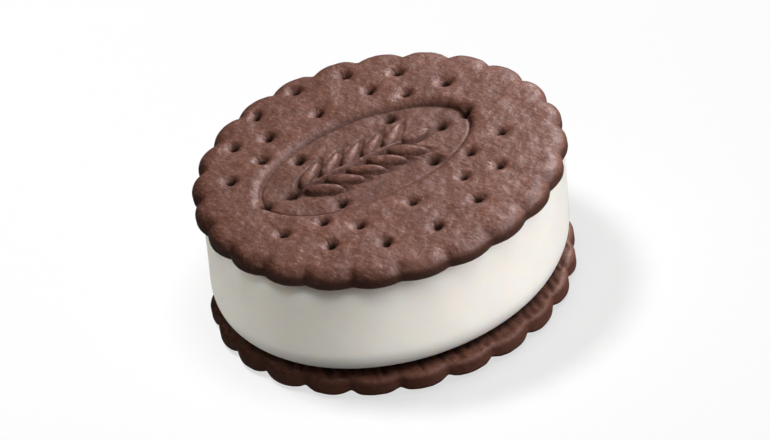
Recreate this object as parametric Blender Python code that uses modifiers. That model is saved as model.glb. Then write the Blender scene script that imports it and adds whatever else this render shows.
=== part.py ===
"""Round ice cream sandwich: a thick disc of ice cream between two scalloped cocoa biscuits.

The sandwich lies flat with its lower biscuit on the ground plane. Both biscuits are the same
baked piece. Each has a scalloped rim, docker holes in an oval ring, and an oval sunk panel
with an ear of wheat on its outer face. The lower one is turned over, so that the outer faces
look away from the ice cream. The upper biscuit sits a little off centre and a little tilted.
Neither biscuit is quite round, and the ice cream bulges over a well rounded lower edge.
All lengths are in metres and angles in degrees. An oval is its share of stretch and the
direction of its long axis, from +X.
"""

import math

import bmesh
import bpy
from mathutils import Euler, Matrix, Vector

# Biscuit
BISCUIT_RADIUS = 0.0398          # out to the tips of the lobes
BISCUIT_THICKNESS = 0.0044
LOBE_COUNT = 24
LOBE_DEPTH = 0.00125             # from the tip of a lobe in to its notch
LOBE_FACETS = 5
SWELL_START = 0.80               # share of the radius where the lobes begin to show
GROOVE_DEPTH = 0.0006            # how far the outer face dips towards each notch
OUTER_EDGE_STEPS = 4
INNER_EDGE_REACH = 0.0014        # rounding of the edge next to the ice cream
INNER_EDGE_DROP = 0.0010
INNER_EDGE_STEPS = 2

# Docker holes, laid out on two axes of their own
PATTERN_CENTRE = (-0.0024, 0.0021)
PATTERN_TURN = 22.0              # from +X to the pattern's long axis
RING_HOLES = 16
RING_ALONG = 0.0281
RING_ACROSS = 0.0315
RING_END = 0.0243                # the two holes at the ends of the panel lie closer in
FIELD_HOLES = ((0.0174, 0.0141), (0.0123, 0.0205), (0.0, 0.0209))
PANEL_HOLES = ((0.0180, 0.0), (0.0109, 0.0098))
HOLE_RADIUS = 0.0011
HOLE_TIP_RADIUS = 0.0004
HOLE_DEPTH = 0.0026
HOLE_SIDES = 8
CUTTER_RISE = 0.0004             # how far a cutter stands above the face that it cuts

# Sunk panel and ear of wheat
PANEL_ALONG = 0.0240
PANEL_ACROSS = 0.0143
PANEL_DEPTH = 0.0007
PANEL_SIDES = 48
GRAIN_PAIRS = 5
GRAIN_PITCH = 0.0050
GRAIN_FIRST = -0.0116
GRAIN_OFFSET = 0.0034
GRAIN_LEAN = 38.0
GRAIN_HALF_LENGTH = 0.0044
GRAIN_HALF_WIDTH = 0.0015
GRAIN_HEIGHT = 0.0006
TIP_GRAIN_AT = 0.0122
TIP_GRAIN_HALF_LENGTH = 0.0036
STEM_START = -0.0162
STEM_END = 0.0100
STEM_HALF_WIDTH = 0.0005

# Ice cream
ICE_RADIUS = 0.0383              # at the fullest part of its side
ICE_OVAL = (0.031, 44.0)
ICE_TOP_REACH = 0.0012           # rounding of its edges
ICE_TOP_DROP = 0.0016
ICE_BASE_REACH = 0.0045
ICE_BASE_DROP = 0.0060
ICE_EDGE_STEPS = 5
ICE_FACETS = 72
ICE_BASE_MIDDLE = (-0.00063, -0.00084)
ICE_TOP_MIDDLE = (0.00098, 0.00030)

# Stack
STACK_HEIGHT = 0.0322            # to the middle of the upper biscuit's face
GAP = 0.0003                     # between pieces that touch
TILT = (0.7, -1.8)               # of the upper biscuit, about X and about Y
UPPER_MIDDLE = (0.00029, -0.00078)
UPPER_TURN = 0.4                 # turns a notch onto this angle from +X
UPPER_OVAL = (0.007, 102.0)
UPPER_EDGE = (0.0027, 0.0020)    # reach and drop of the rounding round the outer face
LOWER_MIDDLE = (-0.00063, 0.00018)
LOWER_TURN = -4.0
LOWER_OVAL = (0.021, 72.0)
LOWER_EDGE = (0.0015, 0.0012)

COLLECTION_NAME = "ice_cream_sandwich"
CUTTER_COLLECTION_NAME = "cutters"

BISCUIT_COLOUR = (0.145, 0.078, 0.058, 1.0)
LOWER_BISCUIT_COLOUR = (0.105, 0.055, 0.040, 1.0)
ICE_CREAM_COLOUR = (0.86, 0.83, 0.77, 1.0)


def clear_scene():
    """Remove every object that the file already holds."""
    for obj in list(bpy.data.objects):
        bpy.data.objects.remove(obj, do_unlink=True)


def make_collection(name):
    """Return a new collection linked to the scene."""
    collection = bpy.data.collections.new(name)
    bpy.context.scene.collection.children.link(collection)
    return collection


def make_material(name, colour, roughness):
    """Return a plain Principled material."""
    material = bpy.data.materials.new(name)
    material.use_nodes = True
    shader = material.node_tree.nodes["Principled BSDF"]
    shader.inputs["Base Color"].default_value = colour
    shader.inputs["Roughness"].default_value = roughness
    shader.inputs["Metallic"].default_value = 0.0
    return material


def add_object(name, mesh, collection):
    """Wrap a mesh in an object in the given collection."""
    obj = bpy.data.objects.new(name, mesh)
    collection.objects.link(obj)
    return obj


def smoothstep(start, end, value):
    """Ease from 0 at start to 1 at end."""
    share = min(max((value - start) / (end - start), 0.0), 1.0)
    return share * share * (3.0 - 2.0 * share)


def edge_arc(rim_radius, reach, drop, steps, outward):
    """Points of a quarter ellipse round a rim, as radius and depth under the face."""
    points = []
    for step in range(steps + 1):
        angle = math.radians(90.0) * step / steps
        points.append((rim_radius - reach + reach * math.sin(angle), drop * (1.0 - math.cos(angle))))
    return points if outward else list(reversed(points))


def turned_blank(name, profile, facets):
    """Turn a profile about Z with a Screw and close both its open ends with flat faces."""
    mesh = bpy.data.meshes.new(name + "_profile")
    edges = [(index, index + 1) for index in range(len(profile) - 1)]
    mesh.from_pydata([(radius, 0.0, height) for radius, height in profile], edges, [])
    blank = bpy.data.objects.new(name + "_blank", mesh)
    bpy.context.scene.collection.objects.link(blank)
    screw = blank.modifiers.new("turn", "SCREW")
    screw.axis = "Z"
    screw.steps = facets
    screw.render_steps = facets
    screw.use_merge_vertices = True
    screw.merge_threshold = 0.00001
    bpy.context.view_layer.update()
    turned = bpy.data.meshes.new_from_object(blank.evaluated_get(bpy.context.evaluated_depsgraph_get()))
    turned.name = name
    bpy.data.objects.remove(blank, do_unlink=True)
    shell = bmesh.new()
    shell.from_mesh(turned)
    open_edges = [edge for edge in shell.edges if edge.is_boundary]
    bmesh.ops.holes_fill(shell, edges=open_edges, sides=0)
    bmesh.ops.recalc_face_normals(shell, faces=shell.faces)
    shell.to_mesh(turned)
    shell.free()
    return turned


def oval_share(angle, oval, turn=0.0):
    """How far an oval's outline stands out at an angle, as a share of its mean radius."""
    stretch, long_axis = oval
    return 1.0 + stretch * math.cos(2.0 * (angle - math.radians(long_axis - turn)))


def lobe_radius(angle):
    """Radius of the scalloped outline, made of round lobes that meet in notches."""
    half_pitch = math.pi / LOBE_COUNT
    notch_radius = BISCUIT_RADIUS - LOBE_DEPTH
    centre = (BISCUIT_RADIUS ** 2 - notch_radius ** 2) / (
        2.0 * (BISCUIT_RADIUS - notch_radius * math.cos(half_pitch)))
    curve = BISCUIT_RADIUS - centre
    offset = angle % (2.0 * half_pitch) - half_pitch
    return centre * math.cos(offset) + math.sqrt(curve ** 2 - (centre * math.sin(offset)) ** 2)


def shape_lobes(mesh, oval, turn):
    """Pull a round blank into an oval with puffed lobes that fade out towards its middle."""
    mean_radius = BISCUIT_RADIUS - 0.5 * LOBE_DEPTH
    for vertex in mesh.vertices:
        x, y, z = vertex.co
        radius = math.hypot(x, y)
        angle = math.atan2(y, x)
        swell = smoothstep(SWELL_START, 1.0, radius / BISCUIT_RADIUS)
        outline = lobe_radius(angle)
        groove = (BISCUIT_RADIUS - outline) / LOBE_DEPTH
        height_share = smoothstep(0.4, 1.0, z / BISCUIT_THICKNESS)
        scale = (1.0 + swell * (outline - mean_radius) / mean_radius) * oval_share(angle, oval, turn)
        vertex.co = (x * scale, y * scale, z - GROOVE_DEPTH * groove * swell * height_share)


def pattern_matrix():
    """Move from the axes of the face's pattern to those of the biscuit."""
    place = Matrix.Translation(Vector((*PATTERN_CENTRE, 0.0)))
    return place @ Matrix.Rotation(math.radians(PATTERN_TURN), 4, "Z")


def mirrored(along, across):
    """Copies of a point in every quadrant, without doubles on an axis."""
    signs = [(a, b) for a in (1, -1) for b in (1, -1)]
    return sorted({(a * along + 0.0, b * across + 0.0) for a, b in signs})


def hole_places():
    """Places of all docker holes on the pattern's axes."""
    places = []
    for index in range(RING_HOLES):
        angle = 2.0 * math.pi * index / RING_HOLES
        on_long_axis = index % (RING_HOLES // 2) == 0
        along = RING_END if on_long_axis else RING_ALONG
        places.append((along * math.cos(angle), RING_ACROSS * math.sin(angle)))
    for along, across in FIELD_HOLES + PANEL_HOLES:
        places.extend(mirrored(along, across))
    return places


def hole_cutter(name, cutters):
    """One object that holds a tapered pin for every docker hole."""
    pins = bmesh.new()
    length = HOLE_DEPTH + CUTTER_RISE
    for along, across in hole_places():
        middle = Vector((along, across, BISCUIT_THICKNESS + CUTTER_RISE - 0.5 * length))
        bmesh.ops.create_cone(
            pins, cap_ends=True, segments=HOLE_SIDES, radius1=HOLE_TIP_RADIUS, radius2=HOLE_RADIUS,
            depth=length, matrix=pattern_matrix() @ Matrix.Translation(middle))
    mesh = bpy.data.meshes.new(name)
    pins.to_mesh(mesh)
    pins.free()
    return as_cutter(add_object(name, mesh, cutters))


def panel_cutter(name, cutters):
    """An oval plug that sinks the panel into the outer face."""
    plug = bmesh.new()
    length = PANEL_DEPTH + CUTTER_RISE
    middle = Matrix.Translation((0.0, 0.0, BISCUIT_THICKNESS - PANEL_DEPTH + 0.5 * length))
    oval = Matrix.Diagonal((PANEL_ALONG, PANEL_ACROSS, 1.0, 1.0))
    bmesh.ops.create_cone(
        plug, cap_ends=True, segments=PANEL_SIDES, radius1=1.0, radius2=1.0, depth=length,
        matrix=pattern_matrix() @ middle @ oval)
    mesh = bpy.data.meshes.new(name)
    plug.to_mesh(mesh)
    plug.free()
    return as_cutter(add_object(name, mesh, cutters))


def grain_piece(name, cutters, along, across, lean, half_length, half_width):
    """One plump grain that rises from the floor of the panel."""
    grain = bmesh.new()
    place = Matrix.Translation((along, across, BISCUIT_THICKNESS - PANEL_DEPTH))
    turn = Matrix.Rotation(math.radians(lean), 4, "Z")
    size = Matrix.Diagonal((half_length, half_width, GRAIN_HEIGHT, 1.0))
    bmesh.ops.create_uvsphere(
        grain, u_segments=8, v_segments=6, radius=1.0, matrix=pattern_matrix() @ place @ turn @ size)
    mesh = bpy.data.meshes.new(name)
    grain.to_mesh(mesh)
    grain.free()
    return as_cutter(add_object(name, mesh, cutters))


def wheat_pieces(name, cutters):
    """The stem, the leaning pairs of grains and the grain at the tip."""
    stem_middle = 0.5 * (STEM_START + STEM_END)
    stem_half = 0.5 * (STEM_END - STEM_START)
    pieces = [grain_piece(name + "_stem", cutters, stem_middle, 0.0, 0.0, stem_half, STEM_HALF_WIDTH)]
    for index in range(GRAIN_PAIRS):
        along = GRAIN_FIRST + GRAIN_PITCH * index
        for side in (1, -1):
            pieces.append(grain_piece(
                f"{name}_grain_{index}_{'left' if side > 0 else 'right'}", cutters, along,
                side * GRAIN_OFFSET, side * GRAIN_LEAN, GRAIN_HALF_LENGTH, GRAIN_HALF_WIDTH))
    pieces.append(grain_piece(
        name + "_tip", cutters, TIP_GRAIN_AT, 0.0, 0.0, TIP_GRAIN_HALF_LENGTH, GRAIN_HALF_WIDTH))
    return pieces


def as_cutter(obj):
    """Show a helper object as a wire and keep it out of renders."""
    obj.hide_render = True
    obj.display_type = "WIRE"
    return obj


def add_boolean(obj, tool, operation):
    """Cut or join another object with the exact solver."""
    boolean = obj.modifiers.new(tool.name, "BOOLEAN")
    boolean.operation = operation
    boolean.solver = "EXACT"
    boolean.object = tool


def biscuit_profile(edge):
    """The biscuit's section from its outer face, down its rim, to its inner face."""
    flat_radius = SWELL_START * BISCUIT_RADIUS
    rim_radius = BISCUIT_RADIUS - 0.5 * LOBE_DEPTH
    outer = edge_arc(rim_radius, *edge, OUTER_EDGE_STEPS, True)
    inner = edge_arc(rim_radius, INNER_EDGE_REACH, INNER_EDGE_DROP, INNER_EDGE_STEPS, False)
    profile = [(flat_radius, BISCUIT_THICKNESS)]
    profile += [(radius, BISCUIT_THICKNESS - depth) for radius, depth in outer]
    profile += [(radius, depth) for radius, depth in inner]
    profile.append((flat_radius, 0.0))
    return profile


def make_biscuit(name, material, edge, oval, turn, placement, parts, cutters):
    """Model one biscuit with its outer face up, then place it and its tools."""
    mesh = turned_blank(name, biscuit_profile(edge), LOBE_COUNT * LOBE_FACETS)
    shape_lobes(mesh, oval, turn)
    biscuit = add_object(name, mesh, parts)
    biscuit.data.materials.append(material)
    panel = panel_cutter(name + "_panel", cutters)
    grains = wheat_pieces(name + "_wheat", cutters)
    holes = hole_cutter(name + "_holes", cutters)
    add_boolean(biscuit, panel, "DIFFERENCE")
    for grain in grains:
        add_boolean(biscuit, grain, "UNION")
    add_boolean(biscuit, holes, "DIFFERENCE")
    for obj in [biscuit, panel, holes] + grains:
        obj.matrix_world = placement
    mesh.shade_smooth()
    mesh.set_sharp_from_angle(angle=math.radians(35.0))
    return biscuit


def upper_placement():
    """Turn, tilt and lift the upper biscuit; its face's middle ends at the stack's height."""
    face_middle = Vector((*UPPER_MIDDLE, STACK_HEIGHT))
    tilt = Euler((math.radians(TILT[0]), math.radians(TILT[1]), 0.0)).to_matrix().to_4x4()
    turn = Matrix.Rotation(math.radians(UPPER_TURN), 4, "Z")
    sink = Matrix.Translation((0.0, 0.0, -BISCUIT_THICKNESS))
    return Matrix.Translation(face_middle) @ tilt @ turn @ sink


def flipped_oval(oval):
    """The same oval on a piece that is turned over about X."""
    return (oval[0], -oval[1])


def lower_placement():
    """Turn the lower biscuit over, so that its outer face lies on the ground."""
    place = Matrix.Translation((*LOWER_MIDDLE, BISCUIT_THICKNESS))
    turn = Matrix.Rotation(math.radians(LOWER_TURN), 4, "Z")
    return place @ turn @ Matrix.Rotation(math.pi, 4, "X")


def ice_cream_profile(height):
    """The ice cream's section: an upright side between a small upper and a large lower rounding."""
    top = edge_arc(ICE_RADIUS, ICE_TOP_REACH, ICE_TOP_DROP, ICE_EDGE_STEPS, True)
    base = edge_arc(ICE_RADIUS, ICE_BASE_REACH, ICE_BASE_DROP, ICE_EDGE_STEPS, False)
    profile = [(radius, height - depth) for radius, depth in top]
    profile += [(radius, depth) for radius, depth in base]
    return profile


def make_ice_cream(material, parts):
    """Turn the ice cream, make it oval, and lean it and its top to meet the upper biscuit."""
    bottom = BISCUIT_THICKNESS + GAP
    height = STACK_HEIGHT - BISCUIT_THICKNESS - GAP - bottom
    mesh = turned_blank("ice_cream", ice_cream_profile(height), ICE_FACETS)
    rise_x = -math.tan(math.radians(TILT[1]))
    rise_y = math.tan(math.radians(TILT[0]))
    for vertex in mesh.vertices:
        x, y, z = vertex.co
        share = z / height
        scale = oval_share(math.atan2(y, x), ICE_OVAL)
        x = x * scale + ICE_BASE_MIDDLE[0] + share * (ICE_TOP_MIDDLE[0] - ICE_BASE_MIDDLE[0])
        y = y * scale + ICE_BASE_MIDDLE[1] + share * (ICE_TOP_MIDDLE[1] - ICE_BASE_MIDDLE[1])
        lift = rise_x * (x - UPPER_MIDDLE[0]) + rise_y * (y - UPPER_MIDDLE[1])
        vertex.co = (x, y, bottom + z + lift * share)
    ice_cream = add_object("ice_cream", mesh, parts)
    ice_cream.data.materials.append(material)
    mesh.shade_smooth()
    mesh.set_sharp_from_angle(angle=math.radians(35.0))
    return ice_cream


def main():
    clear_scene()
    parts = make_collection(COLLECTION_NAME)
    cutters = make_collection(CUTTER_COLLECTION_NAME)
    biscuit = make_material("cocoa_biscuit", BISCUIT_COLOUR, 0.6)
    lower_biscuit = make_material("cocoa_biscuit_lower", LOWER_BISCUIT_COLOUR, 0.65)
    ice_cream = make_material("ice_cream", ICE_CREAM_COLOUR, 0.45)
    make_biscuit("upper_biscuit", biscuit, UPPER_EDGE, UPPER_OVAL, UPPER_TURN, upper_placement(),
                 parts, cutters)
    make_ice_cream(ice_cream, parts)
    make_biscuit("lower_biscuit", lower_biscuit, LOWER_EDGE, flipped_oval(LOWER_OVAL), -LOWER_TURN,
                 lower_placement(), parts, cutters)


main()
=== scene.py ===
"""Looks of a round ice cream sandwich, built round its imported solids.

Two scalloped cocoa biscuits and the disc of ice cream between them are modelled again as fine
meshes. Each takes the place of its plain solid. A rule in a Geometry Nodes tree gives each piece
its shape: the lobes, docker holes, sunk panel and ear of wheat of a biscuit, and the rounded,
slightly uneven side of the ice cream. All lengths are in metres and angles in degrees.
"""

from __future__ import annotations

import logging
import math
from dataclasses import dataclass, field
from enum import Enum
from typing import Callable, Mapping, Optional, Sequence, Union

import bmesh
import bpy
from mathutils import Euler, Matrix, Vector


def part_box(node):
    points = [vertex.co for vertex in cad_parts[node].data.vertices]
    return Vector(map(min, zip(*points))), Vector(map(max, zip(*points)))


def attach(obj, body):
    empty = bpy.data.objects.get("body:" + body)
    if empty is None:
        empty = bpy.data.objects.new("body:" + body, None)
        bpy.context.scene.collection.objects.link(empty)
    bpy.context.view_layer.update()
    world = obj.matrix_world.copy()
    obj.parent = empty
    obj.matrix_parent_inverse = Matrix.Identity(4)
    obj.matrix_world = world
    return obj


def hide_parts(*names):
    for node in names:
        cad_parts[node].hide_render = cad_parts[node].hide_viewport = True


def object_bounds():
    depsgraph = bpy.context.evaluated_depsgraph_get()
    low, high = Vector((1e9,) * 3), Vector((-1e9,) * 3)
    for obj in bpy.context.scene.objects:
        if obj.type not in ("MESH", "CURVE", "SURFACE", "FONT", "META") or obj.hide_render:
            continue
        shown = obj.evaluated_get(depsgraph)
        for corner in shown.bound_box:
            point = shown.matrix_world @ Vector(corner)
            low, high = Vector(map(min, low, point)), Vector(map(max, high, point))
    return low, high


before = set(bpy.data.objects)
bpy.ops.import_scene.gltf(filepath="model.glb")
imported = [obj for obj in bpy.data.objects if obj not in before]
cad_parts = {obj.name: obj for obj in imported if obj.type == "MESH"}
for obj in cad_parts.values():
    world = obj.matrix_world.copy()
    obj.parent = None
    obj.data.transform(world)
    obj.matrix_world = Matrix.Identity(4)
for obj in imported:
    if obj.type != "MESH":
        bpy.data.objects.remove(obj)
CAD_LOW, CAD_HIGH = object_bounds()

LOG = logging.getLogger("ice_cream_sandwich")
BODY = "root"

RING_GROWTH = 6  # points that each fine ring of a face has more than the ring inside it
ARC_TO_CHORD = 1.1  # length of a quarter ellipse over that of the line between its ends
FACE_SLACK = 1e-6  # how far below a face a point may lie and still count as on it

Colour = tuple[float, float, float, float]
Range = tuple[float, float]


class Layer(Enum):
    """The layers of the sandwich, by the name of the solid each one stands for."""

    LOWER_BISCUIT = "lower_biscuit"
    ICE_CREAM = "ice_cream"
    UPPER_BISCUIT = "upper_biscuit"

    def middle(self) -> Vector:
        """Middle of the box of the layer's solid."""
        low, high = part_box(self.value)
        return 0.5 * (Vector(low) + Vector(high))


class TreeKind(Enum):
    """The kinds of node tree that the script builds."""

    SHAPE = "GeometryNodeTree"
    FINISH = "ShaderNodeTree"


class Socket(Enum):
    """The kinds of input and output that the groups have."""

    VALUE = "NodeSocketFloat"
    VECTOR = "NodeSocketVector"
    COLOUR = "NodeSocketColor"
    SHAPE = "NodeSocketGeometry"
    MATERIAL = "NodeSocketMaterial"


class Facing(Enum):
    """Which way a flat face looks; the value leads from the face into the piece."""

    UP = -1.0
    DOWN = 1.0


class Reach(Enum):
    """What a studio light falls on."""

    DOUGH = "dough"
    ICE_CREAM = "ice_cream"
    FLOOR = "floor"


# --- Node trees ------------------------------------------------------------------------------


def arithmetic(operation: str, swapped: bool = False) -> Callable[[Signal, Number], Signal]:
    """Make the method of Signal for one sign of arithmetic.

    Args:
        operation: Operation of the Math node that the sign adds.
        swapped: Whether the signal stands on the right of the sign.

    Returns:
        The method.
    """

    def method(signal: Signal, other: Number) -> Signal:
        """Add the Math node."""
        values = (other, signal) if swapped else (signal, other)
        return signal.bench.math(operation, *values)

    return method


class Signal:
    """A value, vector or colour in a node tree; the signs of arithmetic add Math nodes."""

    def __init__(self, bench: NodeBench, socket: bpy.types.NodeSocket) -> None:
        """Keep the socket and the bench that its tree is on."""
        self.bench = bench
        self.socket = socket

    def __neg__(self) -> Signal:
        """The value with its sign changed."""
        return self * -1.0

    __add__ = arithmetic("ADD")
    __radd__ = arithmetic("ADD", swapped=True)
    __sub__ = arithmetic("SUBTRACT")
    __rsub__ = arithmetic("SUBTRACT", swapped=True)
    __mul__ = arithmetic("MULTIPLY")
    __rmul__ = arithmetic("MULTIPLY", swapped=True)
    __truediv__ = arithmetic("DIVIDE")
    __rtruediv__ = arithmetic("DIVIDE", swapped=True)
    __mod__ = arithmetic("FLOORED_MODULO")


Number = Union[Signal, float, int]
Feed = Union[Signal, float, int, bool, str, Sequence[float], bpy.types.ID]
Feeds = Mapping[Union[int, str], Feed]


@dataclass
class NodeBench:
    """A node tree with short ways to add its nodes and wire them up."""

    tree: bpy.types.NodeTree
    source: Optional[bpy.types.Node] = None
    sink: Optional[bpy.types.Node] = None
    inputs: dict[str, str] = field(default_factory=dict)

    ROWS = 8
    COLUMN_WIDTH = 190.0
    ROW_HEIGHT = 170.0

    @classmethod
    def group(cls, name: str, kind: TreeKind) -> NodeBench:
        """Start a new node group.

        Args:
            name: Name of the group.
            kind: Whether the group shapes meshes or dresses them.

        Returns:
            The bench, with the group's input and output nodes in place.
        """
        bench = cls(bpy.data.node_groups.new(name, kind.value))
        bench.source = bench.node("NodeGroupInput")
        bench.sink = bench.node("NodeGroupOutput")
        return bench

    @classmethod
    def cleared(cls, block: bpy.types.ID) -> NodeBench:
        """Take up the tree of a material or a world, emptied of the nodes that it starts with.

        Args:
            block: The material or world.

        Returns:
            The bench with the empty tree.
        """
        block.use_nodes = True
        block.node_tree.nodes.clear()
        return cls(block.node_tree)

    def node(self, kind: str, feeds: Optional[Feeds] = None, **settings: object) -> bpy.types.Node:
        """Add one node.

        Args:
            kind: Type of the node.
            feeds: What goes into its sockets, by name or number.
            settings: The node's own options.

        Returns:
            The new node.
        """
        column, row = divmod(len(self.tree.nodes), self.ROWS)
        node = self.tree.nodes.new(kind)
        node.location = (column * self.COLUMN_WIDTH, -row * self.ROW_HEIGHT)
        for option, value in settings.items():
            setattr(node, option, value)
        self.wire(node, feeds or {})
        return node

    def wire(self, node: bpy.types.Node, feeds: Feeds) -> None:
        """Feed several sockets of a node, each by its name or number."""
        for key, value in feeds.items():
            self.feed(node.inputs[key], value)

    def feed(self, socket: bpy.types.NodeSocket, value: Feed) -> None:
        """Link a signal to a socket, or set the socket to a constant.

        Args:
            socket: The socket.
            value: The signal or the constant.
        """
        if isinstance(value, Signal):
            self.tree.links.new(value.socket, socket)
        else:
            socket.default_value = value

    def signal(self, node: bpy.types.Node, output: Union[int, str] = 0) -> Signal:
        """Return one output of a node."""
        return Signal(self, node.outputs[output])

    def add(self, kind: str, feeds: Optional[Feeds] = None, output: Union[int, str] = 0,
            **settings: object) -> Signal:
        """Add one node and return one of its outputs.

        Args:
            kind: Type of the node.
            feeds: What goes into its sockets, by name or number.
            output: Name or number of the output.
            settings: The node's own options.

        Returns:
            The output.
        """
        return self.signal(self.node(kind, feeds, **settings), output)

    def take(self, name: str, kind: Socket, default: Optional[Feed] = None) -> Signal:
        """Give the group a named input.

        Args:
            name: Name of the input.
            kind: What the input holds.
            default: Value that it starts with.

        Returns:
            The input as a signal inside the group.
        """
        item = self.tree.interface.new_socket(name, in_out="INPUT", socket_type=kind.value)
        if default is not None:
            item.default_value = default
        self.inputs[name] = item.identifier
        return Signal(self, self.source.outputs[name])

    def size(self, name: str, value: float) -> Signal:
        """Give the group a named input for one size."""
        return self.take(name, Socket.VALUE, value)

    def sizes(self, owner: object, part: str, *fields: str) -> list[Signal]:
        """Give the group a named input for each of several sizes of a part.

        Args:
            owner: The dataclass that holds the sizes.
            part: Name of the part, with which the names of the inputs start.
            fields: Names of the sizes.

        Returns:
            The inputs, in the same order.
        """
        return [self.size(f"{part} {name.replace('_', ' ').title()}", float(getattr(owner, name)))
                for name in fields]

    def give(self, name: str, kind: Socket, value: Signal) -> None:
        """Give the group a named output and feed it."""
        self.tree.interface.new_socket(name, in_out="OUTPUT", socket_type=kind.value)
        self.feed(self.sink.inputs[name], value)

    def math(self, operation: str, *values: Number) -> Signal:
        """Add a Math node."""
        return self.add("ShaderNodeMath", dict(enumerate(values)), operation=operation)

    def highest(self, first: Number, second: Number) -> Signal:
        """The larger of two values."""
        return self.math("MAXIMUM", first, second)

    def lowest(self, first: Number, second: Number) -> Signal:
        """The smaller of two values."""
        return self.math("MINIMUM", first, second)

    def cos_sin(self, angle: Number) -> tuple[Signal, Signal]:
        """The cosine and the sine of an angle."""
        return self.math("COSINE", angle), self.math("SINE", angle)

    def length(self, x: Signal, y: Signal) -> Signal:
        """The length of a flat vector given by its parts."""
        return self.math("SQRT", x * x + y * y)

    def ease(self, value: Number, start: Number, end: Number, low: Number = 0.0,
             high: Number = 1.0) -> Signal:
        """Ease from low at start to high at end, and hold both beyond."""
        feeds = {0: value, 1: start, 2: end, 3: low, 4: high}
        return self.add("ShaderNodeMapRange", feeds, interpolation_type="SMOOTHSTEP")

    def split(self, vector: Signal) -> tuple[Signal, ...]:
        """The three parts of a vector."""
        node = self.node("ShaderNodeSeparateXYZ", {0: vector})
        return tuple(self.signal(node, part) for part in range(3))

    def join(self, x: Number, y: Number, z: Number) -> Signal:
        """A vector from its three parts."""
        return self.add("ShaderNodeCombineXYZ", {0: x, 1: y, 2: z})

    def finish_shape(self, name: str, blank: Signal, places: Signal, skin: Signal,
                     marks: Mapping[str, Signal]) -> None:
        """End a shaping tree: move the points, mark them and dress the mesh.

        Args:
            name: Name of the group's output.
            blank: The mesh that comes in.
            places: New place of each of its points.
            skin: The material.
            marks: Values to store on the points, by the name of their attribute.
        """
        shape = self.add("GeometryNodeSetPosition", {"Geometry": blank, "Position": places})
        for mark, value in marks.items():
            feeds = {"Geometry": shape, "Name": mark, "Value": value}
            shape = self.add("GeometryNodeStoreNamedAttribute", feeds, data_type="FLOAT",
                             domain="POINT")
        shape = self.add("GeometryNodeRealizeInstances", {"Geometry": shape})
        shape = self.add("GeometryNodeSetMaterial", {"Geometry": shape, "Material": skin})
        self.give(name, Socket.SHAPE, shape)


@dataclass(frozen=True)
class NoiseLayer:
    """One layer of smooth noise from 0 to 1, with its scale in waves to the metre."""

    scale: float
    seed: float = 0.0
    detail: float = 2.0
    roughness: float = 0.5
    level: float = 0.5

    def read(self, bench: NodeBench, where: Signal, seed: Number = 0.0) -> Signal:
        """Add the nodes that read the noise.

        Args:
            bench: The tree that they go in.
            where: Place at which it is read.
            seed: The piece's own seed, which is added to the layer's.

        Returns:
            The noise.
        """
        feeds = {"Vector": where, "W": seed + self.seed, "Scale": self.scale,
                 "Detail": self.detail, "Roughness": self.roughness}
        return bench.add("ShaderNodeTexNoise", feeds, noise_dimensions="4D")

    def swing(self, bench: NodeBench, where: Signal, seed: Number = 0.0) -> Signal:
        """How far the noise stands above its level, and below zero where it falls short."""
        return self.read(bench, where, seed) - self.level

    def dents(self, bench: NodeBench, where: Signal, seed: Number = 0.0) -> Signal:
        """How far the noise falls short of its level, as a negative value, and 0 elsewhere."""
        return bench.lowest(0.0, self.swing(bench, where, seed))


@dataclass(frozen=True)
class Spot:
    """Where a point of a turned blank lies, before it is shaped."""

    place: Signal
    x: Signal
    y: Signal
    z: Signal
    reach: Signal
    angle: Signal

    @classmethod
    def read(cls, bench: NodeBench) -> Spot:
        """Add the nodes that read the place of each point of the mesh.

        Args:
            bench: The tree that they go in.

        Returns:
            The spot, with its distance and direction from the middle.
        """
        place = bench.add("GeometryNodeInputPosition")
        x, y, z = bench.split(place)
        return cls(place, x, y, z, bench.length(x, y), bench.math("ARCTAN2", y, x))

    def oval_stretch(self, oval: Signal, axis: Signal) -> Signal:
        """Factor that draws a round blank out along an axis and in across it."""
        return 1.0 + oval * oval.bench.math("COSINE", 2.0 * (self.angle - axis))


# --- Turned blanks ---------------------------------------------------------------------------


@dataclass(frozen=True)
class Ring:
    """One ring of a turned blank."""

    radius: float
    height: float
    count: int

    def points(self) -> list[tuple[float, float, float]]:
        """Set out the points of the ring.

        Returns:
            Their places, evenly spaced from +X.
        """
        turn = 2.0 * math.pi / self.count
        return [(self.radius * math.cos(turn * index), self.radius * math.sin(turn * index),
                 self.height) for index in range(self.count)]


def show(name: str, data: bpy.types.ID) -> bpy.types.Object:
    """Make an object and link it to the scene.

    Args:
        name: Name of the object.
        data: Its mesh, light or camera.

    Returns:
        The object.
    """
    shown = bpy.data.objects.new(name, data)
    bpy.context.scene.collection.objects.link(shown)
    return shown


def zip_rings(first: int, first_count: int, second: int, second_count: int) -> list[tuple[int, ...]]:
    """Join two neighbouring rings with quads, or with triangles where their counts differ.

    Args:
        first: Index of the first ring's first point.
        first_count: Number of points in the first ring.
        second: Index of the second ring's first point.
        second_count: Number of points in the second ring.

    Returns:
        The faces, as tuples of point indices.
    """
    if first_count == second_count:
        return [(first + index, first + (index + 1) % first_count,
                 second + (index + 1) % first_count, second + index)
                for index in range(first_count)]
    faces = []
    here, there = 0, 0
    while here < first_count or there < second_count:
        this = first + here % first_count
        that = second + there % second_count
        if there == second_count or (here < first_count
                                     and (here + 1) * second_count <= (there + 1) * first_count):
            here += 1
            faces.append((this, first + here % first_count, that))
        else:
            there += 1
            faces.append((this, second + there % second_count, that))
    return faces


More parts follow.
